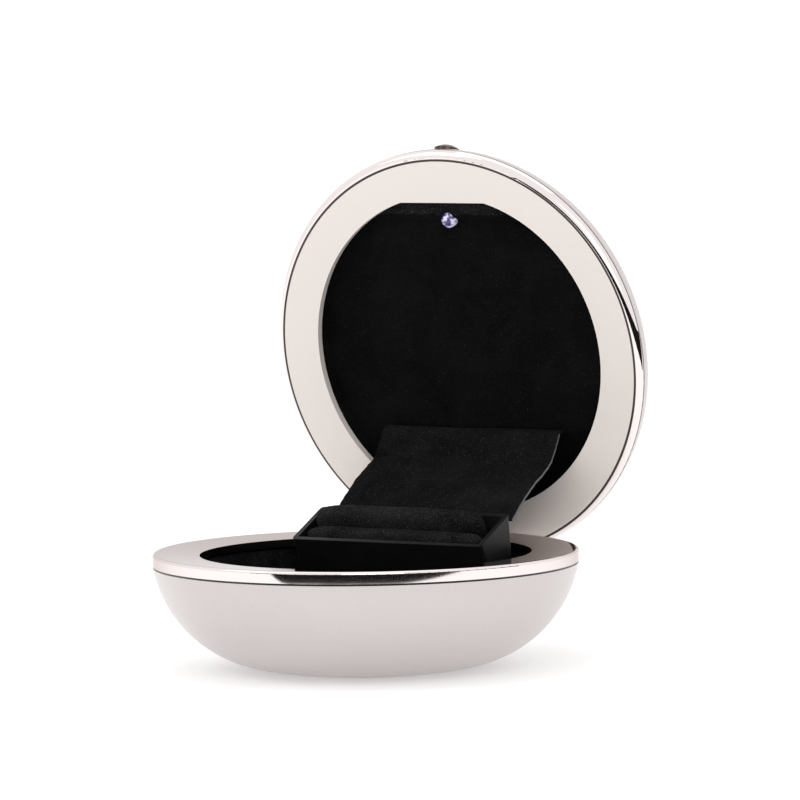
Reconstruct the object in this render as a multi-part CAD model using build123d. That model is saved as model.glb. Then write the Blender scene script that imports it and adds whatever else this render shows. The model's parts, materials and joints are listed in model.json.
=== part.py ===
from build123d import *
from math import asin, cos, degrees, radians, sin, sqrt
import os

# Travel jewelry case: a round clamshell ring box with a light in its lid and a ring tray that a strap lifts.
# Millimetres, +Z up. The origin is the centre of the foot, on the surface that the case stands on.
# The hinge is at +Y and the front at -Y. The case is modelled open, as it stands on display.
# The lid's pieces are drawn closed, above the base, and then turned about the hinge.

# Driving dimensions of the case
case_radius = 37.5            # outermost radius of both halves
rim_top = 20.8                # height of the base's mirror face at its outer edge
closing_gap = 0.4             # between the two mirror faces when the lid is shut
opening_radius = 29.2         # round opening through both rims
lid_open_angle = 80.0         # how far the lid stands open
hinge_y, hinge_z = 35.4, 17.5
hinge_pin_radius = 0.8
wall = 1.6                    # shells
seam = 0.35                   # dark joint between a rim and its shell

# Base
foot_radius = 15.7            # flat bottom of the bowl
bowl_arc = 22.1               # radius of the bowl's side, in section
bowl_clearance = 0.3          # the shell stays this far above the table
base_band = 2.1               # height of the base rim's bright edge
base_edge = 0.5               # rounding of the mirror face's outer edge
face_fall = 0.45              # both mirror faces slope away by this much towards the opening
plate = 1.4                   # thickness of the rim at the opening
spigot_wall = 1.4             # the rims' skirts that sit inside the shells

# Lid
face_radius = 36.1            # the lid's mirror face is flat to here and rounded outside it
lid_band = 1.0
lid_corner = 5.75             # radius of the lid's shoulder, in section
lid_slope = 20.0              # slope of the dome where it meets the shoulder, in degrees
lid_wall = 1.5
chord_distance = 27.9         # flat edge of the lid's opening, from its centre
lining_depth = 3.6            # velvet floor of the lid, behind the mirror face
ledge_front = 25.4            # the light's ledge reaches in this far from the rim

# Ring tray, measured in its own frame: y from front to back, z down from its top edge
tray_width, tray_length, tray_height = 38.8, 11.7, 12.0
tray_tilt = 24.5              # shown tilt
tray_front = (6.7, 21.4)      # front top edge (y, z) in the open case
tray_pivot = (17.8, 10.9)     # pin under the tray (y, z)
tray_pin_radius = 0.7
post_x = 13.2                 # the posts that carry the pin, from the middle
screw_places, screw_y = (-8, 8), 17.45
tray_wall = 0.9
tray_front_draft, tray_back_draft = 5.0, 17.0

# Strap
strap_width, strap_thick = 37.3, 0.4
strap_root = (18.6, 25.7)     # bend at the tray (y, z)
strap_bend = (32.0, 33.6)     # fold between its two halves
strap_end_radius = -14.6      # where it meets the lid's lining, along the lid from its centre
strap_end_depth = 0.2
fold_room = 2.6               # each half stops this short of the fold, so that it can fold nearly flat

# Button and its switch, drawn along the button's own axis
button_radius, button_proud, button_barrel = 2.4, 1.05, 1.7
button_tilt = 27.5            # between the button's axis and the mirror face
button_depth = 4.3            # where its axis leaves the shell, behind the mirror face
plunger_radius = 0.7

lid_plane = rim_top + closing_gap
seam_z = rim_top - base_band


def turned(*edges):
    """A solid of revolution about Z from a closed outline of (radius, height) edges."""
    return revolve(Plane.XZ * make_face(list(edges)), Axis.Z)


def outline(*points):
    """The straight edges through the points, closed."""
    return Polyline(*points, close=True)


def prism(points, width):
    """A solid with a (y, z) outline, as wide as given along X, centred."""
    return extrude(Plane.YZ * make_face(outline(*points)), amount=width / 2, both=True)


def rod_x(y, z, radius, x_from, x_to):
    """A round bar along X."""
    middle = (x_from + x_to) / 2
    return Pos(middle, y, z) * Rot(0, 90, 0) * Cylinder(radius, abs(x_to - x_from))


def disc(radius, z_from, z_to):
    return Pos(0, 0, (z_from + z_to) / 2) * Cylinder(radius, abs(z_to - z_from))


def block(x, y, z):
    """A box from three (low, high) pairs."""
    return Pos(sum(x) / 2, sum(y) / 2, sum(z) / 2) * Box(x[1] - x[0], y[1] - y[0], z[1] - z[0])


def both_sides(shape):
    """The shape and its mirror image across the middle of the case, as two solids."""
    return Compound(children=[shape, mirror(shape, Plane.YZ)])


def raise_lid(shape):
    """Turns a piece of the closed lid up to the angle at which the case stands open."""
    return shape.rotate(Axis((0, hinge_y, hinge_z), (1, 0, 0)), -lid_open_angle)


def deep(depth):
    """Height of a point in the closed lid, from its depth behind the mirror face."""
    return lid_plane + depth


# ---------------------------------------------------------------- base

def base_shell():
    """The lacquered bowl, open at the top, with a notch for the hinge and a recess for the foot pad."""
    centre = (foot_radius, bowl_clearance + bowl_arc)
    top = seam_z - seam

    def side(radius):
        return degrees(asin((top - centre[1]) / radius))

    outer = CenterArc(centre, bowl_arc, -90, 90 + side(bowl_arc))
    inner = CenterArc(centre, bowl_arc - wall, -90, 90 + side(bowl_arc - wall))
    bowl = turned(
        Line((0, bowl_clearance), outer @ 0),
        outer,
        Line(outer @ 1, inner @ 1),
        inner,
        Line(inner @ 0, (0, bowl_clearance + wall)),
        Line((0, bowl_clearance + wall), (0, bowl_clearance)),
    )
    recess = disc(foot_radius - 0.6, bowl_clearance - 0.1, bowl_clearance + 0.7)
    notch = block((-9.9, 9.9), (31, 40), (15.2, 20))
    return bowl - recess - notch


def foot_pad():
    """The soft disc that the case stands on."""
    pad = disc(foot_radius - 0.8, 0, bowl_clearance + 0.7)
    return chamfer(pad.edges().group_by(Axis.Z)[0], 0.2)


def ballast_plate():
    """A steel disc that keeps the case from tipping back when the lid is open."""
    floor = bowl_clearance + wall
    return disc(foot_radius - 0.2, floor, floor + 2.2)


def knuckle(x_from, x_to):
    return rod_x(hinge_y, hinge_z, 1.9, x_from, x_to)


def base_rim():
    """The mirror ring of the base: a sloping face, a rounded edge, a skirt inside the bowl and two knuckles."""
    shoulder = base_edge
    skirt = 35.1
    under = rim_top - face_fall - plate
    edge = CenterArc((case_radius - shoulder, rim_top - shoulder), shoulder, 0, 90)
    ring = turned(
        Line((opening_radius, rim_top - face_fall), edge @ 1),
        edge,
        Polyline(
            edge @ 0,
            (case_radius, seam_z),
            (skirt, seam_z),
            (skirt, 16.6),
            (skirt - spigot_wall, 16.6),
            (skirt - spigot_wall, under),
            (opening_radius, under),
            (opening_radius, rim_top - face_fall),
        ),
    )
    lid_gap = block((-5.1, 5.1), (33, 40), (14, 22))
    rim = ring - lid_gap + knuckle(5.1, 9.6) + knuckle(-9.6, -5.1)
    return rim - rod_x(hinge_y, hinge_z, hinge_pin_radius + 0.01, -10, 10)


def base_seam_ring():
    """The dark ring in the joint between rim and bowl, set back from the outside."""
    ring = disc(case_radius - 0.35, seam_z - seam, seam_z) - disc(35.2, seam_z - 1, seam_z + 1)
    return ring - block((-9.9, 9.9), (31, 40), (15.2, 20))


def hinge_pin():
    return rod_x(hinge_y, hinge_z, hinge_pin_radius, -9.6, 9.6)


def base_liner():
    """The velvet cup that lines the base."""
    floor, lip = 4.2, 18.6
    corner, corner_radius, skin = (23.2, 9.8), 5.6, 1.0
    outer = CenterArc(corner, corner_radius, -90, 90)
    inner = CenterArc(corner, corner_radius - skin, -90, 90)
    return turned(
        Line((0, floor), outer @ 0),
        outer,
        Polyline(outer @ 1, (opening_radius + 1.2, lip), (opening_radius + 0.2, lip), inner @ 1),
        inner,
        Polyline(inner @ 0, (0, floor + skin), (0, floor)),
    )


def magnet_pair(radius, z_from):
    """Two small bar magnets, either side of the front."""
    bar = block((-3, 3), (-radius - 1, -radius + 1), (z_from, z_from + 1.5))
    return both_sides(Rot(0, 0, 42) * bar)


def tray_bracket():
    """A plate on the base's floor with two posts that hold the tray's pin."""
    y, z = tray_pivot
    floor = 5.2
    foot = block((-14.6, 14.6), (16.0, 18.9), (floor, floor + 1))
    foot = fillet(foot.edges().filter_by(Axis.Z), 1.2)
    post = prism([(16.6, floor + 0.5), (18.9, floor + 0.5), (y + 1.2, z), (y - 1.2, z)], 2.0)
    post += rod_x(y, z, 1.5, -1, 1)
    bracket = foot + Pos(post_x, 0, 0) * post + Pos(-post_x, 0, 0) * post
    for x in screw_places:
        bracket -= Pos(x, screw_y, floor) * Cylinder(0.85, 6)
    return bracket - rod_x(y, z, tray_pin_radius + 0.01, -16, 16)


def tray_pin():
    return rod_x(tray_pivot[0], tray_pivot[1], tray_pin_radius, -14.2, 14.2)


def bracket_screw(x):
    """A pan-head screw through the bracket."""
    under_head = 6.2
    head = Pos(x, screw_y, under_head + 0.5) * Cylinder(1.4, 1.0)
    shank = Pos(x, screw_y, under_head - 0.5) * Cylinder(0.8, 1.0)
    slot = block((x - 1.6, x + 1.6), (screw_y - 0.2, screw_y + 0.2), (under_head + 0.6, under_head + 2))
    return fillet(head.edges().group_by(Axis.Z)[-1], 0.4) + shank - slot


# ---------------------------------------------------------------- lid, drawn closed

def lid_rim():
    """The mirror ring of the lid, with a flat edge across the front of its opening and the middle knuckle."""
    inner = 26.5
    skirt = case_radius - lid_wall - 0.5
    face_slope = face_fall / (face_radius - opening_radius)
    under = deep(face_fall + plate)
    shoulder = ThreePointArc(
        (face_radius, lid_plane), (case_radius - 0.38, deep(0.38)), (case_radius, deep(lid_band))
    )
    ring = turned(
        shoulder,
        Polyline(
            (case_radius, deep(lid_band)),
            (skirt, deep(lid_band)),
            (skirt, deep(3.2)),
            (skirt - spigot_wall, deep(3.2)),
            (skirt - spigot_wall, under),
            (inner, under),
            (inner, deep(face_slope * (face_radius - inner))),
            (face_radius, lid_plane),
        ),
    )
    hole = disc(opening_radius, lid_plane - 1, deep(4))
    hole &= block((-40, 40), (-chord_distance, 40), (lid_plane - 1, deep(4)))
    switch_room = block((-3.2, 3.2), (-40, -31.2), (deep(1.25), deep(4)))
    skirt_gap = disc(skirt + 0.1, deep(1.0), deep(4)) & switch_room
    arm = block((-4.8, 4.8), (33.6, hinge_y + 1.8), (hinge_z, deep(1.2)))
    rim = ring - hole - skirt_gap + arm + knuckle(-4.8, 4.8)
    return rim - rod_x(hinge_y, hinge_z, hinge_pin_radius + 0.06, -6, 6)


def lid_outline(thickness):
    """Shoulder and dome of the lid, in section, that far inside its outer surface."""
    start = deep(lid_band + seam)
    centre = (case_radius - lid_corner, start)
    dome_reach = centre[0] / sin(radians(lid_slope))
    dome_centre = (0, start - dome_reach * cos(radians(lid_slope)))
    shoulder = CenterArc(centre, lid_corner - thickness, 0, 90 - lid_slope)
    dome = CenterArc(dome_centre, dome_reach + lid_corner - thickness, 90 - lid_slope, lid_slope)
    return shoulder, dome


def button_frame():
    """The button's place: its origin is on the shell's outside and its z axis points out."""
    shoulder_start = lid_band + seam
    radius = case_radius - lid_corner + sqrt(lid_corner**2 - (button_depth - shoulder_start) ** 2)
    tilt = radians(button_tilt)
    return Plane(
        origin=(0, -radius, deep(button_depth)), x_dir=(1, 0, 0), z_dir=(0, -cos(tilt), sin(tilt))
    )


def along_button(radius, z_from, z_to):
    """A round bar on the button's axis."""
    return button_frame() * Pos(0, 0, (z_from + z_to) / 2) * Cylinder(radius, abs(z_to - z_from))


def lid_shell():
    """The lacquered dome of the lid, with a round hole for the button."""
    shoulder, dome = lid_outline(0)
    shoulder_in, dome_in = lid_outline(lid_wall)
    shell = turned(
        shoulder,
        dome,
        Line(dome @ 1, dome_in @ 1),
        dome_in,
        shoulder_in,
        Line(shoulder_in @ 0, shoulder @ 0),
    )
    return shell - along_button(button_radius + 0.15, -4, 3)


def lid_seam_ring():
    """The dark ring behind the lid's rim, relieved where the pressed button comes past it."""
    ring = disc(case_radius - 0.35, deep(lid_band), deep(lid_band + seam))
    ring -= disc(case_radius - lid_wall, deep(0), deep(3))
    ring -= along_button(button_radius + 0.15, -4, 3)
    return ring - block((-5.1, 5.1), (30, 40), (deep(0), deep(3)))


def light_axis():
    """The lamp's place: its origin is on the sloping wall of the ledge and its z axis points into the lid's hollow."""
    middle = (lining_depth + face_fall + plate + 0.05) / 2
    return Plane(
        origin=(0, -ledge_front + middle - (face_fall + plate), deep(middle)),
        x_dir=(1, 0, 0),
        z_dir=(0, 1, -1),
    )


def on_light_axis(radius, z_from, z_to):
    return light_axis() * Pos(0, 0, (z_from + z_to) / 2) * Cylinder(radius, abs(z_to - z_from))


def lid_liner():
    """The velvet lining of the lid: a shallow dish with a ledge at the front that carries the light."""
    top = face_fall + plate + 0.05
    panel = disc(31.5, deep(top), deep(lining_depth + 1))
    dish = disc(opening_radius + 0.4, deep(top - 1), deep(lining_depth))
    ledge = prism(
        [
            (-40, deep(top - 2)),
            (-ledge_front, deep(top - 2)),
            (-ledge_front, deep(top)),
            (-ledge_front + lining_depth - top, deep(lining_depth)),
            (-ledge_front + lining_depth - top, deep(lining_depth + 1)),
            (-40, deep(lining_depth + 1)),
        ],
        80,
    )
    return panel - (dish - ledge) - on_light_axis(1.65, -8, 3) - on_light_axis(2.1, -8, -2.2)


def strap_batten():
    """The covered bar that the strap's end is tucked against."""
    front = -strap_end_radius + 0.3
    bar = block((-18.4, 18.4), (front, front + 1.4), (deep(2.1), deep(lining_depth)))
    return fillet(bar.edges().filter_by(Axis.X).group_by(Axis.Z)[0], 0.5)


def led_lamp():
    """A 3 mm light-emitting diode: a domed lens, a collar and two legs."""
    lens = on_light_axis(1.5, -2.4, 0.2) + light_axis() * Pos(0, 0, 0.2) * Sphere(1.5)
    lens += on_light_axis(1.95, -3.3, -2.3)
    for x in (-0.64, 0.64):
        lens += light_axis() * Pos(x, 0, -4.1) * Box(0.5, 0.5, 1.8)
    return lens


board_deep = lining_depth + 1


def light_board():
    """The small circuit board behind the lining."""
    board = block((-9, 9), (-22.5, -8), (deep(board_deep), deep(board_deep + 0.8)))
    return chamfer(board.edges().filter_by(Axis.Z), 0.8)


def coin_cell():
    """A 12.5 by 2.0 mm cell, flat on the board, with its stepped edge."""
    low = deep(board_deep + 0.8)
    cell = Pos(0, -15.2, low + 0.75) * Cylinder(6.25, 1.5)
    return cell + Pos(0, -15.2, low + 1.75) * Cylinder(5.4, 0.5)


def cell_clip():
    """A bent spring strip that holds the cell against the board."""
    low = deep(board_deep + 0.8)
    high = low + 2.05
    strip = block((-7.4, 7.4), (-17, -13.4), (low, high + 0.3))
    return strip - block((-7.05, 7.05), (-18, -12), (low - 1, high))


def light_switch():
    """A low push switch, with a bore for its plunger."""
    body = button_frame() * Pos(0, 0, -3.2) * Box(4.4, 2.2, 1.0)
    return body - along_button(plunger_radius + 0.08, -3.5, -2)


def switch_plunger():
    return along_button(plunger_radius, -2.9, -button_barrel - 0.05)


def push_button():
    """The domed button: a low cap on a short barrel."""
    rise = 0.25
    ball = (button_radius**2 + (button_proud - rise) ** 2) / (2 * (button_proud - rise))
    cap = Pos(0, 0, button_proud - ball) * Sphere(ball)
    cap &= Pos(0, 0, rise + 2) * Cylinder(button_radius, 4)
    return button_frame() * cap + along_button(button_radius, -button_barrel, rise)


def light_wire(*route):
    """A thin insulated wire along a route of points, bent round at each."""
    path = FilletPolyline(*[(x, y, deep(depth)) for x, y, depth in route], radius=1.0)
    return sweep(Plane(path @ 0, z_dir=path % 0) * Circle(0.3), path=path)


def light_wires():
    """Two wires from the lamp to the board and two from the switch to the board."""
    low = board_deep + 1.1
    lamp_wire = light_wire((0.9, -27.6, 5.8), (3.2, -26.6, 5.9), (5.2, -24.2, low), (5.2, -20.5, low))
    switch_wire = light_wire((2.6, -33.6, 3.6), (4.6, -32.6, 5.2), (7.6, -28.0, low), (7.6, -20.5, low))
    return Compound(children=[*both_sides(lamp_wire).solids(), *both_sides(switch_wire).solids()])


# ---------------------------------------------------------------- tray and strap

def tilt_tray(shape):
    """Moves a piece from the tray's own frame to its place in the open case."""
    return Pos(0, *tray_front) * Rot(tray_tilt, 0, 0) * shape


def tray_section(inset, top, bottom):
    """The tray's (y, z) outline in its own frame, that far inside its walls."""
    front = tan_of(tray_front_draft)
    back = tan_of(tray_back_draft)
    return [
        (inset - front * top, top),
        (tray_length - inset + back * top, top),
        (tray_length - inset + back * bottom, bottom),
        (inset - front * bottom, bottom),
    ]


def tan_of(angle):
    return sin(radians(angle)) / cos(radians(angle))


def ring_tray():
    """The moulded tray, wider at the top, with two lugs on its underside for the pin."""
    body = prism(tray_section(0, 0, -tray_height), tray_width)
    body = fillet(body.edges().filter_by(Axis.Z, tolerance=20), 0.8)
    hollow = prism(tray_section(tray_wall, 1, tray_wall - tray_height), tray_width - 2 * tray_wall)
    tray = tilt_tray(body - hollow)
    y, z = tray_pivot
    for x in (-10.6, 10.6):
        lug = rod_x(y, z, 1.5, x - 1, x + 1) + Pos(x, 0, 0) * prism(
            [(y - 1.4, z), (y + 1.4, z), (y + 1.0, z + 3.0), (y - 2.0, z + 2.2)], 2.0
        )
        tray += lug
    return tray - rod_x(y, z, tray_pin_radius + 0.05, -14, 14)


def velvet_roll(x, y, z):
    """A padded roll across the tray: a round-edged bar from three (low, high) pairs in the tray's frame."""
    bar = block(x, y, z)
    return tilt_tray(fillet(bar.edges().filter_by(Axis.X), 1.6))


def front_roll():
    return velvet_roll((-17.8, 17.0), (1.6, 5.5), (-4.2, 0.6))


def rear_roll():
    return velvet_roll((-17.8, 17.0), (5.7, 9.3), (-3.4, 1.6))


def strap_piece(start, end, start_gap, end_gap):
    """One half of the strap: a flat strip along a (y, z) line, with its ends held off by the gaps."""
    run = Vector(0, end[0] - start[0], end[1] - start[1])
    line = Plane(origin=(0, *start), x_dir=(1, 0, 0), z_dir=run)
    length = run.length - start_gap - end_gap
    strip = Box(strap_width, strap_thick, length)
    strip = fillet(strip.edges().filter_by(Axis.X), strap_thick * 0.4)
    return line * Pos(0, 0, start_gap + length / 2) * strip


def strap_end():
    """Where the strap meets the lid's lining in the open case, as (y, z)."""
    angle = radians(lid_open_angle)
    y, z = -strap_end_radius - hinge_y, deep(strap_end_depth) - hinge_z
    return (hinge_y + y * cos(angle) + z * sin(angle), hinge_z - y * sin(angle) + z * cos(angle))


def strap_lower():
    return strap_piece(strap_root, strap_bend, 0.9, fold_room)


def strap_upper():
    return strap_piece(strap_bend, strap_end(), fold_room, 0.1)


base_pieces = [
    base_shell, foot_pad, ballast_plate, base_rim, base_seam_ring, hinge_pin,
    base_liner, tray_bracket, tray_pin, ring_tray, front_roll, rear_roll, strap_lower, strap_upper,
]
lid_pieces = [
    lid_rim, lid_shell, lid_seam_ring, lid_liner, strap_batten, led_lamp, light_board,
    coin_cell, cell_clip, light_switch, switch_plunger, push_button, light_wires,
]

made = {piece.__name__: piece() for piece in base_pieces}
made |= {piece.__name__: raise_lid(piece()) for piece in lid_pieces}
made["bracket_screws"] = Compound(children=[bracket_screw(x) for x in screw_places])
made["base_magnets"] = magnet_pair(32.2, 17.3)
made["lid_magnets"] = raise_lid(magnet_pair(32.9, deep(face_fall + plate)))

os.makedirs("parts", exist_ok=True)
for name, shape in made.items():
    shape.label = name
    export_step(shape, f"parts/{name}.step")
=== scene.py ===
import json
from math import copysign, cos, hypot, pi, radians, sin

import bmesh
import bpy
from mathutils import Matrix, Vector, noise


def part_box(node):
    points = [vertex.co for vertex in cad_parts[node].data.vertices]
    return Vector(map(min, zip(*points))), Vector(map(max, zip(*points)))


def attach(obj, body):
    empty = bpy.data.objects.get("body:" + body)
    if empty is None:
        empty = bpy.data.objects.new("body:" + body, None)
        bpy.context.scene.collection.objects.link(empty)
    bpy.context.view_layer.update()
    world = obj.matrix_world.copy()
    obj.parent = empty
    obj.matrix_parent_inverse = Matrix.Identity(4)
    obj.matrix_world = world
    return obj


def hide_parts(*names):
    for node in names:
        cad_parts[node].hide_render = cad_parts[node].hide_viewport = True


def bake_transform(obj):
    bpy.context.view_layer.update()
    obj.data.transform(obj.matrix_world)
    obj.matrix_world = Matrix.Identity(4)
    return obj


# Travel jewelry case: camera, light, finishes and soft goods around the CAD model.
# Lengths in this script are millimetres, which MM turns into metres. Up is +Z and the case's front is -Y.

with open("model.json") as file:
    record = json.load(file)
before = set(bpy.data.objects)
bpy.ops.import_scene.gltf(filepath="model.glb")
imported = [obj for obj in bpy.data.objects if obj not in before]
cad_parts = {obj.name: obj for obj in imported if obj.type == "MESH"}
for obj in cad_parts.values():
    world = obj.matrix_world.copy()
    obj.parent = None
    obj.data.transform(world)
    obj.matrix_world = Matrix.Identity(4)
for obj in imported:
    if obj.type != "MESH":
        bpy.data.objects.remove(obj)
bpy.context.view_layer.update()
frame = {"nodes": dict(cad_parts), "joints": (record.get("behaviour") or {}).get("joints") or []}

MM = 0.001
scene = bpy.context.scene
nodes = frame["nodes"]
joints = {joint["name"]: joint for joint in frame["joints"]}

# Strap
strap_width = 36.6
strap_shift = 1.1              # towards +X
strap_thick = 0.42
strap_end_radius = -14.6       # where it meets the lid's lining, along the lid from its centre
strap_end_depth = 0.35         # and behind the lid's plated face
seam_share = 0.70              # where its two halves meet, along the lower link

# Lid and tray
face_above_hinge = 3.7         # the lid's plated face over the hinge axis, when shut
tray_tilt = radians(24.5)


# ---------------------------------------------------------------- shader maths

class Value:
    """A number that varies over a surface. Arithmetic on it adds Math nodes."""

    def __init__(self, finish, socket):
        self.finish = finish
        self.socket = socket

    def maths(self, operation, *others, clamp=False):
        settings = {"operation": operation, "use_clamp": clamp}
        return self.finish.node("ShaderNodeMath", settings, [self, *others])

    def __add__(self, other):
        return self.maths("ADD", other)

    def __mul__(self, other):
        return self.maths("MULTIPLY", other)

    def __sub__(self, other):
        return self.maths("SUBTRACT", other)

    def __rsub__(self, other):
        return (self * -1.0) + other

    __radd__ = __add__
    __rmul__ = __mul__

    def above(self, edge, softness):
        """0 under the edge and 1 above it, with a soft step between."""
        return ((self - (edge - softness / 2)) * (1.0 / softness)).maths("ADD", 0.0, clamp=True)


class Finish:
    """A material and its nodes."""

    def __init__(self, name):
        self.material = bpy.data.materials.new(name)
        self.material.use_nodes = True
        self.tree = self.material.node_tree
        self.shader = self.tree.nodes["Principled BSDF"]
        self.place = self.node("ShaderNodeTexCoord", {}, [], output="Object")

    def node(self, kind, settings, sockets, output=0):
        """Adds a node: its settings first, then its sockets, in order, by name or by number."""
        made = self.tree.nodes.new(kind)
        for name, value in settings.items():
            setattr(made, name, value)
        pairs = sockets.items() if isinstance(sockets, dict) else enumerate(sockets)
        for name, value in pairs:
            self.feed(made.inputs[name], value)
        return Value(self, made.outputs[output])

    def feed(self, socket, value):
        if isinstance(value, Value):
            self.tree.links.new(value.socket, socket)
        else:
            socket.default_value = value

    def grain(self, per_mm, detail=2.0, roughness=0.5, stretch=(1, 1, 1), distortion=0.0):
        """Noise from 0 to 1, with that many features to the millimetre."""
        placed = self.node("ShaderNodeVectorMath", {"operation": "MULTIPLY"}, [self.place, stretch])
        sockets = {
            "Vector": placed,
            "Scale": per_mm / MM,
            "Detail": detail,
            "Roughness": roughness,
            "Distortion": distortion,
        }
        return self.node("ShaderNodeTexNoise", {}, sockets, output="Fac")

    def cells(self, per_mm, feature="F1", output="Distance"):
        return self.node("ShaderNodeTexVoronoi", {"feature": feature},
                         {"Vector": self.place, "Scale": per_mm / MM}, output=output)

    def mix(self, mask, low, high):
        """One colour turning into another as the mask goes from 0 to 1."""
        factor_socket, low_socket, high_socket, colour_output = 0, 6, 7, 2
        sockets = {factor_socket: mask, low_socket: low, high_socket: high}
        return self.node("ShaderNodeMix", {"data_type": "RGBA"}, sockets, output=colour_output)

    def bump(self, height, depth_mm, strength=1.0):
        """Surface relief from a height of 0 to 1."""
        relief = self.node("ShaderNodeBump", {},
                           {"Height": height, "Strength": strength, "Distance": depth_mm * MM},
                           output="Normal")
        self.feed(self.shader.inputs["Normal"], relief)

    def set(self, **values):
        """Feeds the shader: Base_Color for Base Color, and so on."""
        for name, value in values.items():
            self.feed(self.shader.inputs[name.replace("_", " ")], value)
        return self


def colour(red, green, blue):
    return (red, green, blue, 1.0)


# ---------------------------------------------------------------- finishes

def pearl_lacquer():
    """Rose-champagne pearl lacquer: fine metal flake under a satin coat."""
    finish = Finish("pearl_lacquer")
    cloud = finish.grain(0.03, detail=2.0)
    flake = finish.cells(9.0, output="Color")
    flake = finish.node("ShaderNodeSeparateColor", {}, [flake], output=0)
    body = finish.mix(cloud.above(0.5, 0.7), colour(0.555, 0.51, 0.505), colour(0.60, 0.555, 0.545))
    finish.set(
        Base_Color=finish.mix(flake.above(0.93, 0.1) * 0.25, body, colour(0.78, 0.73, 0.72)),
        Metallic=0.45,
        Roughness=0.34 + finish.grain(0.4, detail=3.0) * 0.08,
        Coat_Weight=0.35,
        Coat_Roughness=0.16,
    )
    finish.bump(finish.grain(1.2, detail=2.0), 0.012, 0.35)
    return finish.material


def polished_plate(name, tint, shade):
    """Polished plating with the faintest haze and polishing marks."""
    finish = Finish(name)
    haze = finish.grain(0.12, detail=4.0, roughness=0.6)
    marks = finish.grain(3.0, detail=2.0, stretch=(1, 1, 0.1))
    finish.set(
        Base_Color=finish.mix(haze.above(0.5, 0.6), tint, shade),
        Metallic=1.0,
        Roughness=0.045 + haze.above(0.55, 0.4) * 0.03 + marks * 0.02,
    )
    finish.bump(marks, 0.002, 0.15)
    return finish.material


def rim_plate(name, centre, tint, shade, grazing_tint, face_haze, face_metal, face_coat, edge_from, painted_line_width):
    """Plating of a rim: its broad face, a thin dark ring painted round that face as a reflection of the dark
    surroundings, and a polished outer edge.
    """
    finish = Finish(name)
    soft, edge_haze = 0.06 * MM, 0.035
    reach = finish.node("ShaderNodeVectorMath", {"operation": "DISTANCE"},
                        [finish.place, Vector(centre) * MM], output="Value")
    edge = reach.above((edge_from + painted_line_width / 2) * MM, soft)
    # line: the thin dark ring between face and polished edge, a painted reflection of dark surroundings at
    # the rim's turn
    line = reach.above((edge_from - painted_line_width / 2) * MM, soft) * (1.0 - edge)
    haze = finish.grain(0.05, detail=3.0, roughness=0.5)
    brushed = finish.grain(3.0, detail=3.0)
    broad = finish.mix(haze.above(0.5, 0.7), tint, shade)
    plating = finish.mix(edge, broad, colour(0.83, 0.765, 0.755))
    face = haze.above(0.5, 0.6) * (face_haze * 0.4) + brushed * (face_haze * 0.4) + face_haze
    finish.set(
        # the near-black colour here is the painted reflection ring
        Base_Color=finish.mix(line, plating, colour(0.035, 0.025, 0.022)),
        Metallic=face_metal + edge * (1 - face_metal) if face_metal < 1 else 1.0,
        Roughness=face - edge * (face - edge_haze),
        Specular_Tint=grazing_tint,
        Coat_Weight=(1.0 - edge) * face_coat if face_coat else 0.0,
        Coat_Roughness=0.10,
    )
    finish.bump(brushed * (1.0 - edge), 0.002, 0.1)
    return finish.material


def velvet(name, painted_glint_share, pile=0.004):
    """Black velvet: a soft pile that lights up at grazing angles, with scattered bright points painted in as
    glints of the fibres.
    """
    finish = Finish(name)
    fibres_per_mm = 4.5
    brushed = finish.grain(0.11, detail=4.0, roughness=0.6, distortion=0.6)
    fibres = finish.grain(5.0, detail=3.0, roughness=0.7)
    points = finish.cells(fibres_per_mm)
    lots = finish.cells(fibres_per_mm, output="Color")
    chosen = finish.node("ShaderNodeSeparateColor", {}, [lots], output=0)
    # painted glints: scattered bright dots in the base colour, standing in for fibres catching the light
    painted_glints = (1.0 - points.above(0.20, 0.16)) * chosen.above(1.0 - painted_glint_share, 0.04)
    lying, standing = colour(0.0015, 0.0015, 0.0017), colour(pile, pile, pile * 1.05)
    ground = finish.mix(brushed.above(0.52, 0.5), lying, standing)
    ground = finish.mix(fibres.above(0.62, 0.2) * 0.4, ground, colour(pile * 4, pile * 4, pile * 4.2))
    finish.set(
        Base_Color=finish.mix(painted_glints, ground, colour(0.11, 0.11, 0.12)),
        Roughness=0.95,
        Specular_IOR_Level=0.04,
        Sheen_Weight=0.012,
        Sheen_Roughness=0.4,
        Sheen_Tint=colour(0.6, 0.6, 0.65),
    )
    finish.bump(fibres * 0.6 + points * 0.4, 0.10, 0.8)
    return finish.material


def cut_edge():
    """The woven backing that shows along the strap's cut sides."""
    finish = Finish("strap_backing")
    threads = finish.grain(2.5, detail=3.0)
    finish.set(
        Base_Color=finish.mix(threads, colour(0.05, 0.05, 0.053), colour(0.16, 0.16, 0.165)),
        Roughness=0.75,
    )
    finish.bump(threads, 0.05, 0.6)
    return finish.material


# Near-black gloss for the seam rings: painted shade of the gap between each rim and its shell
def painted_seam_shade():
    finish = Finish("painted_seam_shade")
    haze = finish.grain(0.6, detail=3.0)
    finish.set(
        Base_Color=finish.mix(haze, colour(0.008, 0.008, 0.009), colour(0.016, 0.016, 0.017)),
        Roughness=0.12 + haze * 0.08,
    )
    return finish.material


def moulded_black(name, low, high):
    """Satin black moulding with a fine spark-eroded grain and rubbed high places."""
    finish = Finish(name)
    grain = finish.grain(6.0, detail=2.0, roughness=0.6)
    rubbed = finish.grain(0.25, detail=4.0)
    finish.set(
        Base_Color=finish.mix(rubbed.above(0.5, 0.5), colour(low, low, low), colour(high, high, high * 1.04)),
        Roughness=0.36 + grain * 0.14,
        Specular_IOR_Level=0.18,
    )
    finish.bump(grain, 0.010, 0.5)
    return finish.material


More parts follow.
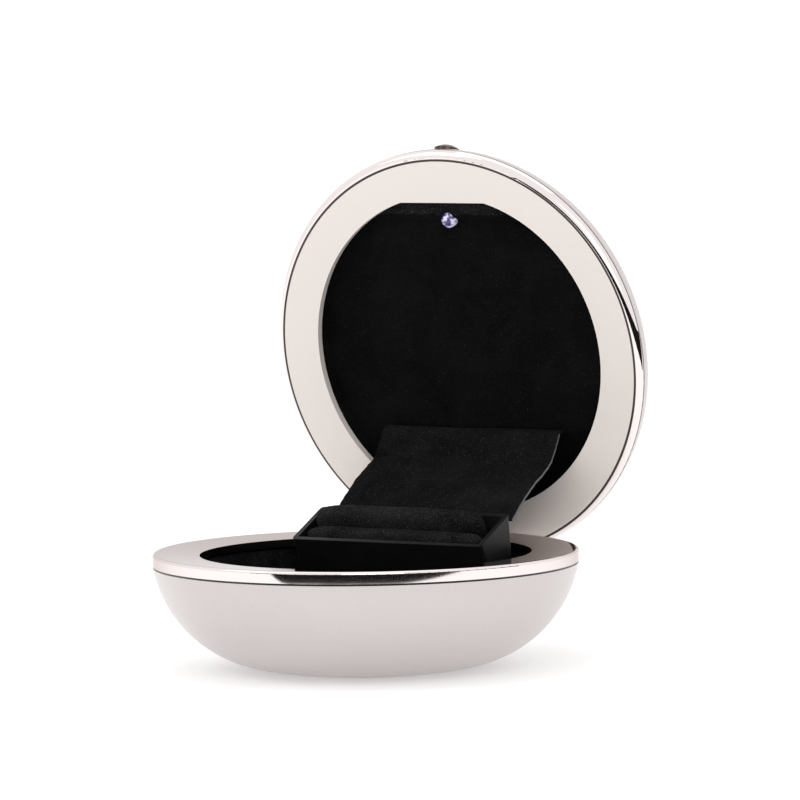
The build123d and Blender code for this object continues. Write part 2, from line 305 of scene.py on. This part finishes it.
def foot_foam():
    finish = Finish("foot_foam")
    pores = finish.cells(2.5)
    finish.set(
        Base_Color=finish.mix(pores, colour(0.018, 0.018, 0.018), colour(0.05, 0.05, 0.05)),
        Roughness=0.88,
    )
    finish.bump(pores, 0.08, 0.7)
    return finish.material


def bright_steel():
    finish = Finish("bright_steel")
    lines = finish.grain(2.0, detail=3.0, stretch=(0.05, 1, 1))
    finish.set(
        Base_Color=finish.mix(lines, colour(0.48, 0.48, 0.50), colour(0.66, 0.66, 0.67)),
        Metallic=1.0,
        Roughness=0.24 + lines * 0.14,
    )
    finish.bump(lines, 0.004, 0.4)
    return finish.material


def lit_lens():
    """The lamp's water-clear lens, glowing faintly, with pale patches painted in as highlights over deep
    violet.
    """
    finish = Finish("lit_lens")
    # glow: pale patches painted into the colour and the glow as the dome's highlights; the faint glow itself
    # is the lamp's
    glow = finish.grain(1.1, detail=1.0, distortion=0.8).above(0.52, 0.14)
    finish.set(
        Base_Color=finish.mix(glow, colour(0.05, 0.04, 0.16), colour(0.60, 0.58, 0.78)),
        Roughness=0.06,
        Coat_Weight=0.6,
        Coat_Roughness=0.03,
        Emission_Color=finish.mix(glow, colour(0.03, 0.03, 0.16), colour(0.85, 0.88, 1.0)),
        Emission_Strength=0.16,
    )
    finish.bump(glow, 0.02, 0.2)
    return finish.material


def circuit_board():
    finish = Finish("circuit_board")
    tracks = finish.cells(0.35, feature="DISTANCE_TO_EDGE")
    copper = 1.0 - tracks.above(0.10, 0.03)
    finish.set(
        Base_Color=finish.mix(copper, colour(0.012, 0.10, 0.035), colour(0.05, 0.20, 0.07)),
        Roughness=0.32 + copper * 0.1,
    )
    finish.bump(copper, 0.03, 0.6)
    return finish.material


def wire_sleeve():
    finish = Finish("wire_sleeve")
    dust = finish.grain(1.5, detail=3.0)
    finish.set(
        Base_Color=finish.mix(dust, colour(0.30, 0.015, 0.015), colour(0.42, 0.03, 0.03)),
        Roughness=0.42 + dust * 0.1,
    )
    return finish.material


def paint(material, *names):
    """Gives CAD nodes their finish."""
    for name in names:
        mesh = nodes[name].data
        mesh.materials.clear()
        mesh.materials.append(material)


lid_low, lid_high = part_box("lid_rim")
lid_centre = Vector((0, lid_low.y + lid_high.y, lid_low.z + lid_high.z)) / 2 / MM
rim_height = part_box("base_rim")[1].z / MM
dark_bronze = polished_plate("dark_bronze_plate", colour(0.11, 0.08, 0.07), colour(0.07, 0.05, 0.042))
pile_lining = velvet("lining_velvet", painted_glint_share=0.012, pile=0.005)
pile_cup = velvet("cup_velvet", painted_glint_share=0.14, pile=0.012)
# a lighter copy of the lining velvet with more glints: painted light on the ledge's face
ledge_painted_lit = velvet("ledge_pile_painted_lit", painted_glint_share=0.40, pile=0.012)
pile_strap = velvet("strap_velvet", painted_glint_share=0.10, pile=0.0095)
pile_roll = velvet("roll_velvet", painted_glint_share=0.30, pile=0.018)
backing = cut_edge()
steel = bright_steel()
moulding = moulded_black("tray_moulding", 0.005, 0.009)

paint(pearl_lacquer(), "base_shell", "lid_shell")
base_plate = rim_plate(
    "base_rim_plate", (0, 0, rim_height),
    tint=colour(0.55, 0.48, 0.48), shade=colour(0.58, 0.51, 0.505), grazing_tint=colour(0.73, 0.69, 0.68),
    face_haze=0.02, face_metal=1.0, face_coat=0.0, edge_from=37.1, painted_line_width=0.02)
lid_plate = rim_plate(
    "lid_rim_plate", lid_centre,
    tint=colour(0.775, 0.715, 0.675), shade=colour(0.795, 0.74, 0.70), grazing_tint=colour(1.0, 1.0, 1.0),
    face_haze=0.46, face_metal=0.2, face_coat=0.2, edge_from=36.25, painted_line_width=0.42)

paint(base_plate, "base_rim")
paint(lid_plate, "lid_rim")
paint(dark_bronze, "push_button")

# The rims' straight walls reflect as flat, and not as if they were rounded towards their edges.
for name in ("base_rim", "lid_rim"):
    nodes[name].modifiers.new("flat_walls", "WEIGHTED_NORMAL").keep_sharp = True
# the seam rings are painted black: painted shade standing in for the dark gap between rim and shell
paint(painted_seam_shade(), "base_seam_ring", "lid_seam_ring")
paint(moulding, "ring_tray", "tray_bracket")
paint(moulded_black("switch_moulding", 0.02, 0.035), "light_switch", "switch_plunger")
paint(foot_foam(), "foot_pad")
paint(steel, "ballast_plate", "hinge_pin", "tray_pin", "bracket_screws", "coin_cell", "cell_clip")
paint(steel, "base_magnets", "lid_magnets")
paint(lit_lens(), "led_lamp")
paint(circuit_board(), "light_board")
paint(wire_sleeve(), "light_wires")


# ---------------------------------------------------------------- mesh tools

def piece(name, points, faces, *materials, smooth=True):
    """A mesh object from points in millimetres."""
    mesh = bpy.data.meshes.new(name)
    mesh.from_pydata([Vector(point) * MM for point in points], [], faces)
    for material in materials:
        mesh.materials.append(material)
    obj = bpy.data.objects.new(name, mesh)
    scene.collection.objects.link(obj)
    tidy = bmesh.new()
    tidy.from_mesh(mesh)
    bmesh.ops.recalc_face_normals(tidy, faces=tidy.faces)
    tidy.to_mesh(mesh)
    tidy.free()
    for polygon in mesh.polygons:
        polygon.use_smooth = smooth
    mesh.set_sharp_from_angle(angle=radians(55))
    return obj


def grid_faces(rows, columns, closed_rows=False, closed_columns=False, start=0):
    """Quads over a grid of points that was written row by row."""
    faces = []
    for row in range(rows if closed_rows else rows - 1):
        for column in range(columns if closed_columns else columns - 1):
            below = (row + 1) % rows
            beside = (column + 1) % columns
            faces.append((
                start + row * columns + column,
                start + row * columns + beside,
                start + below * columns + beside,
                start + below * columns + column,
            ))
    return faces


def smooth_step(value, low, high):
    share = min(max((value - low) / (high - low), 0.0), 1.0)
    return share * share * (3 - 2 * share)


def pile(x, y, z, size, depth):
    """How far the cloth's surface stands proud there: gentle unevenness of that size and depth."""
    return depth * noise.fractal(Vector((x, y, z)) / size, 0.8, 2.0, 3)


def centre_of(node):
    low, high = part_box(node)
    return (low + high) / 2 / MM


def through(points, steps):
    """Points along a smooth curve through the given ones, evenly divided between each pair."""
    ends = [2 * points[0] - points[1], *points, 2 * points[-1] - points[-2]]
    curve = []
    for i in range(1, len(ends) - 2):
        a, b, c, d = ends[i - 1:i + 3]
        for step in range(steps):
            t = step / steps
            curve.append(0.5 * (2 * b + (c - a) * t + (2 * a - 5 * b + 4 * c - d) * t**2
                                + (3 * b - a - 3 * c + d) * t**3))
    return [*curve, points[-1]]


# ---------------------------------------------------------------- base lining

def base_lining():
    """The velvet cup: a rolled lip, a wall that curves into the floor, and a slightly uneven pile."""
    low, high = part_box("base_liner")
    floor, lip = low.z / MM, high.z / MM
    skin, lip_roll, pinhole = 1.0, 0.5, 0.001
    floor_radius, corner_radius, corner_height = 23.2, 4.6, floor + 5.6
    wall_radius, wall_lean = floor_radius + corner_radius, 1.5
    wall_height = lip - lip_roll - corner_height
    lip_radius = high.x / MM - lip_roll
    floor_rows, corner_rows, wall_rows, lip_rows, around = 24, 14, 14, 8, 144
    fluff_size, fluff_depth = 3.0, 0.10

    inner = [(pinhole + floor_radius * i / floor_rows, floor + skin) for i in range(floor_rows)]
    for i in range(corner_rows + 1):
        turn = -pi / 2 + pi / 2 * i / corner_rows
        inner.append((floor_radius + corner_radius * cos(turn), corner_height + corner_radius * sin(turn)))
    for i in range(1, wall_rows + 1):
        inner.append((wall_radius + wall_lean * i / wall_rows, corner_height + wall_height * i / wall_rows))
    rolled = []
    for i in range(lip_rows + 1):
        turn = pi * i / lip_rows
        rolled.append((lip_radius - lip_roll * cos(turn), lip - lip_roll + lip_roll * sin(turn)))
    outer = [
        (wall_radius + skin, corner_height),
        (floor_radius + 4, floor + 1.7),
        (floor_radius, floor),
        (pinhole, floor),
    ]
    section = inner + rolled + outer
    velvet_rows = len(inner) + len(rolled)
    points = []
    for row, (radius, height) in enumerate(section):
        for step in range(around):
            angle = 2 * pi * step / around
            x, y = radius * cos(angle), radius * sin(angle)
            rise = pile(x, y, height, fluff_size, fluff_depth) if row < velvet_rows else 0.0
            points.append((x, y, height + abs(rise) * 0.5))
    faces = grid_faces(len(section), around, closed_columns=True)
    cup = piece("base_lining_velvet", points, faces, pile_cup)
    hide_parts("base_liner")
    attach(cup, "base")


# ---------------------------------------------------------------- lid lining

hinge = Vector(joints["lid_hinge"]["pos_m"]) / MM
lid_open = radians(max(joints["lid_hinge"]["range_deg"]))
lid_face = hinge.z + face_above_hinge
lid_turn = Matrix.Translation(hinge) @ Matrix.Rotation(-lid_open, 4, "X") @ Matrix.Translation(-hinge)


def in_lid(x, y, depth):
    """A point of the open lid, from its place in the shut lid and its depth behind the plated face."""
    return lid_turn @ Vector((x, y, lid_face + depth))


def lid_lining():
    """The lid's velvet: a shallow dish with rounded sides and the sloping ledge that carries the lamp."""
    edge, wall_start, wall_end = 31.3, 28.9, 29.9
    floor, lip, back = 3.6, 1.95, 4.6
    ledge_top, ledge_foot, ledge_margin = -25.2, -23.5, 0.3
    fluff_size, fluff_depth = 2.5, 0.10
    across = 170
    points = []
    for row in range(across):
        v = 2 * row / (across - 1) - 1
        for column in range(across):
            u = 2 * column / (across - 1) - 1
            # a square grid, drawn out to a round one
            x = edge * u * (1 - v * v / 2) ** 0.5
            y = edge * v * (1 - u * u / 2) ** 0.5
            up_wall = smooth_step(hypot(x, y), wall_start, wall_end)
            up_ledge = 1 - smooth_step(y, ledge_top, ledge_foot)
            depth = floor - (floor - lip) * max(up_wall, up_ledge)
            points.append(in_lid(x, y, depth - abs(pile(x, y, 0, fluff_size, fluff_depth))))
    faces = grid_faces(across, across)

    # the grid's border, all the way round, gets a wall and a flat back
    rim = [*range(across)]
    rim += [row * across + across - 1 for row in range(1, across)]
    rim += [(across - 1) * across + column for column in range(across - 2, -1, -1)]
    rim += [row * across for row in range(across - 2, 0, -1)]
    start = len(points)
    for index in rim:
        flat = lid_turn.inverted() @ Vector(points[index])
        points.append(in_lid(flat.x, flat.y, back))
    for i in range(len(rim)):
        after = (i + 1) % len(rim)
        faces.append((rim[i], rim[after], start + after, start + i))
    faces.append(tuple(range(start, start + len(rim))))
    lining = piece("lid_lining_velvet", points, faces, pile_lining, ledge_painted_lit)
    # faces on the ledge take the lighter velvet copy, painted as lit; the rest of the lining stays darker
    for polygon in lining.data.polygons:
        flat = lid_turn.inverted() @ (polygon.center / MM)
        if flat.y < ledge_top - ledge_margin:
            polygon.material_index = 1
    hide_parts("lid_liner")
    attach(lining, "lid")


# ---------------------------------------------------------------- ring rolls

def ring_roll(name, node, width, height, length, shift, crown):
    """A velvet roll across the tray: soft ends, a crowned top and shallow creases."""
    middle = centre_of(node)
    around, along = 40, 90
    end_squareness, least_closing = 9, 0.02
    side_power, rise_power = 0.75, 0.85
    end_height = 0.35
    points = []
    for row in range(along):
        u = 2 * row / (along - 1) - 1
        closing = max(1 - abs(u) ** end_squareness, 0.0) ** 0.5
        closing = max(closing, least_closing)
        for step in range(around):
            angle = 2 * pi * step / around
            side = copysign(abs(cos(angle)) ** side_power, cos(angle))
            rise = copysign(abs(sin(angle)) ** rise_power, sin(angle))
            y = side * width / 2 * closing
            z = rise * height / 2 * (end_height + (1 - end_height) * closing)
            z += crown * (1 - u * u) * max(rise, 0)
            x = u * length / 2
            creased = rise > -0.2
            crease = pile(x * 0.6, y * 1.5, z * 1.5, 6.0, 0.16) if creased else 0.0
            grow = 1 + crease / (width / 2) + pile(x, y, z, 0.8, 0.035)
            turned = Matrix.Rotation(tray_tilt, 3, "X") @ Vector((x + shift, y * grow, z * grow))
            points.append(middle + turned)
    faces = grid_faces(along, around, closed_columns=True)
    faces.append(tuple(range(around)))
    faces.append(tuple(range((along - 1) * around, along * around)))
    roll = piece(name, points, faces, pile_roll)
    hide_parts(node)
    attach(roll, "tray")


# ---------------------------------------------------------------- strap

def strap_line():
    """The strap's middle line from the tray, over its fold, to the lid, as (y, z)."""
    root = Vector(joints["strap_fold_at_tray"]["pos_m"]).yz / MM
    fold = Vector(joints["strap_fold"]["pos_m"]).yz / MM
    end = in_lid(0, -strap_end_radius, strap_end_depth).yz
    return root, fold, end


def strap_ribbon(name, curve, node, bare_rows):
    """A velvet ribbon over a (y, z) curve, with a slightly wavy face and cut sides."""
    across = 64
    wave_size, wave_depth = 11.0, 0.22
    fluff_size, fluff_depth = 1.4, 0.03
    ragged_depth = 0.12
    rows = len(curve)
    upper, lower = [], []
    for row, point in enumerate(curve):
        ahead = curve[min(row + 1, rows - 1)]
        behind = curve[max(row - 1, 0)]
        run = (ahead - behind).normalized()
        out = Vector((-run.y, run.x))
        for step in range(across):
            x = strap_width * (step / (across - 1) - 0.5)
            wave = pile(x, point.x * 1.2, point.y * 1.2, wave_size, wave_depth)
            wave += pile(x, point.x, point.y, fluff_size, fluff_depth)
            ragged = ragged_depth * noise.noise(Vector((x / 9.0, point.x * 0.8, point.y * 0.8)))
            x += strap_shift + (ragged if step in (0, across - 1) else 0.0)
            face = point + out * (strap_thick / 2 + wave)
            under = point + out * (wave - strap_thick / 2)
            upper.append((x, face.x, face.y))
            lower.append((x, under.x, under.y))
    points = upper + lower
    start = len(upper)
    faces = grid_faces(rows, across)
    faces += [tuple(start + index for index in reversed(face)) for face in grid_faces(rows, across)]
    cloth_faces = len(faces)
    for row in range(rows - 1):
        for column in (0, across - 1):
            a, b = row * across + column, (row + 1) * across + column
            faces.append((a, b, start + b, start + a))
    side_faces = len(faces)
    for row in (0, rows - 1):
        for column in range(across - 1):
            a = row * across + column
            faces.append((a, a + 1, start + a + 1, start + a))
    ribbon = piece(name, points, faces, pile_strap, backing)
    for index, polygon in enumerate(ribbon.data.polygons):
        if cloth_faces <= index < side_faces and (index - cloth_faces) // 2 < bare_rows:
            polygon.material_index = 1
            polygon.use_smooth = False
    length = sum((b - a).length for a, b in zip(curve, curve[1:]))
    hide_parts(node)
    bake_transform(ribbon)


def strap():
    root, fold, end = strap_line()
    middle = root.lerp(fold, 0.5)
    run = (fold - root).normalized()
    out = Vector((-run.y, run.x))
    upward = (end - fold).normalized()
    back = (in_lid(0, 0, 1) - in_lid(0, 0, 0)).yz
    steps = 8

    # The strap's line, by how far each point lies along a link and out of it.
    whole = through([
        root - run * 0.6 - out * 0.5,
        root + run * 3.0 + out * 0.1,
        middle + out * 0.25,
        fold - run * 3.0 + out * 0.1,
        fold + upward * 0.5 - out * 0.05,
        fold.lerp(end, 0.72) - out * 0.15,
        end + upward * 0.1,
        end + upward * 0.6 + back * 0.9,
        end + back * 2.9,
    ], steps)
    seam = root.lerp(fold, seam_share)
    cut = min(range(len(whole)), key=lambda i: (whole[i] - seam).length)
    strap_ribbon("strap_velvet_lower", whole[:cut + 1],
                 "strap_lower", cut)
    strap_ribbon("strap_velvet_upper", whole[cut:],
                 "strap_upper", len(whole) - cut - 2 * steps)


base_lining()
lid_lining()
ring_roll("front_ring_roll", "front_roll", width=3.9, height=4.3, length=36.2, shift=0.2, crown=0.0)
ring_roll("rear_ring_roll", "rear_roll", width=5.3, height=6.5, length=34.2, shift=-0.5, crown=0.2)
strap()
paint(pile_lining, "strap_batten")


# ---------------------------------------------------------------- stage, light and camera

def matt(name, red, green, blue, glow=0.0):
    """Matt paper or card, very slightly uneven."""
    finish = Finish(name)
    cloud = finish.grain(0.002, detail=2.0)
    dimmer = colour(red * 0.99, green * 0.99, blue * 0.99)
    finish.set(
        Base_Color=finish.mix(cloud, colour(red, green, blue), dimmer),
        Roughness=0.9,
        Specular_IOR_Level=0.0,
        Emission_Color=colour(1, 1, 1),
        Emission_Strength=glow,
    )
    return finish.material


def floor_plane():
    half = 3000.0
    corners = [(-half, -half, 0), (half, -half, 0), (half, half, 0), (-half, half, 0)]
    paper = matt("floor_paper", 0.76, 0.76, 0.76, glow=0.34)
    floor = piece("floor", corners, [(0, 1, 2, 3)], paper, smooth=False)


def curved_card(name, radius, low, high, end_lift, start, end, material):
    """A card round the front of the case, for its reflection in the rims.

    Its lower edge rises quickly at the start and slowly towards the end, so that the reflection tapers.
    """
    steps = 40
    lower, upper = [], []
    for step in range(steps + 1):
        share = step / steps
        azimuth = radians(start + (end - start) * share)
        x, y = radius * sin(azimuth), -radius * cos(azimuth)
        lift = max(smooth_step(share, 0.50, 1.12), 1 - smooth_step(share, 0.0, 0.14)) * end_lift
        lower.append((x, y, low + lift))
        upper.append((x, y, high))
    board = piece(name, lower + upper, grid_faces(2, steps + 1), material, smooth=False)
    board.visible_camera = False
    board.visible_shadow = False
    board.visible_diffuse = False


def soft_box(name, place, aim, size, power):
    """A soft lamp at a place, turned towards its aim."""
    lamp = bpy.data.lights.new(name, "AREA")
    lamp.shape = "RECTANGLE"
    lamp.size, lamp.size_y = size[0] * MM, size[1] * MM
    lamp.energy = power
    obj = bpy.data.objects.new(name, lamp)
    obj.location = Vector(place) * MM
    obj.rotation_euler = (Vector(place) - Vector(aim)).to_track_quat("Z", "Y").to_euler()
    scene.collection.objects.link(obj)


def daylight():
    """An evenly white room."""
    world = bpy.data.worlds.new("white_room")
    world.use_nodes = True
    sky = world.node_tree.nodes["Background"]
    sky.inputs["Color"].default_value = colour(1.0, 0.995, 0.99)
    sky.inputs["Strength"].default_value = 1.06
    scene.world = world
    scene.view_settings.view_transform = "Standard"


def camera():
    """A long lens, a little above the case and to its right."""
    azimuth, elevation, roll = radians(30.506), radians(4.254), radians(-0.859)
    distance, lens = 1000.0, 257.49
    aim = Vector((7.465, 0, 47.386))
    back = Vector((sin(azimuth) * cos(elevation), -cos(azimuth) * cos(elevation), sin(elevation)))
    data = bpy.data.cameras.new("camera")
    data.lens = lens
    data.sensor_width = 36.0
    data.clip_end = 20.0
    obj = bpy.data.objects.new("camera", data)
    turn = back.to_track_quat("Z", "Y").to_matrix().to_4x4() @ Matrix.Rotation(roll, 4, "Z")
    obj.matrix_world = Matrix.Translation((aim + back * distance) * MM) @ turn
    scene.collection.objects.link(obj)
    scene.camera = obj


floor_plane()
dark_card = matt("dark_card", 0.01, 0.009, 0.009)
curved_card("front_card", radius=200.0, low=0.5, high=60.0, end_lift=8.6, start=-28.0, end=112.0,
            material=dark_card)
soft_box("key", (-420, -420, 620), (0, 0, 30), (420, 420), 0.5)
soft_box("fill", (380, -560, 300), (0, 0, 40), (400, 400), 0.55)
soft_box("top", (0, 60, 800), (0, 0, 20), (600, 600), 0.4)
daylight()
camera()
